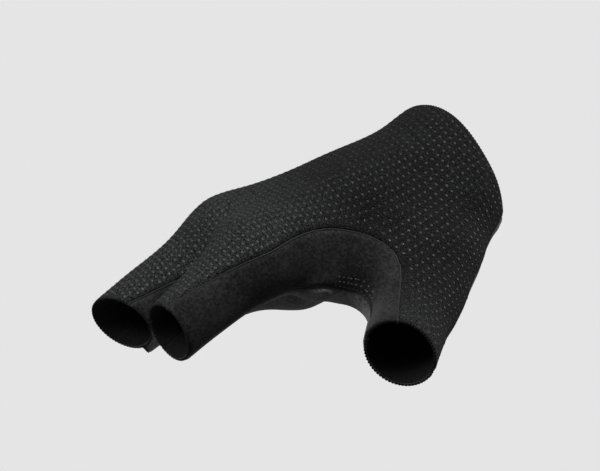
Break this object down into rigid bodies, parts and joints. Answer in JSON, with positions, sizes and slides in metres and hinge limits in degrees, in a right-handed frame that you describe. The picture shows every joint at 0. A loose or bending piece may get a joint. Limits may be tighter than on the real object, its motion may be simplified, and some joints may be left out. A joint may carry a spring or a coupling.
{
  "type": "cycling glove",
  "caption": "Short-finger cycling glove for the right hand, in its worn shape, with knit back, suede palm, web gusset and finger strips.",
  "frame": {"origin": "centre of the wrist opening, where the wrist passes through the cuff", "axes": "+Y from the wrist to the fingertips, +Z out of the back of the hand, -X to the thumb side"},
  "size_m": [0.1245, 0.1359, 0.0795],
  "materials": {
    "back_knit": "black dimpled stretch knit, dull with small bright spots",
    "palm_suede": "dark grey synthetic suede, short nap, quite matte",
    "gusset_microfibre": "smooth black brushed microfibre, slightly fuzzy",
    "fourchette_knit": "black stretch knit, matte"
  },
  "bodies": {
    "root": {"back_panel": "back_knit", "palm_panel": "palm_suede", "thumb_web_gusset": "gusset_microfibre", "fourchette_index_middle": "fourchette_knit", "fourchette_middle_ring": "fourchette_knit", "fourchette_ring_little": "fourchette_knit"}
  },
  "joints": []
}
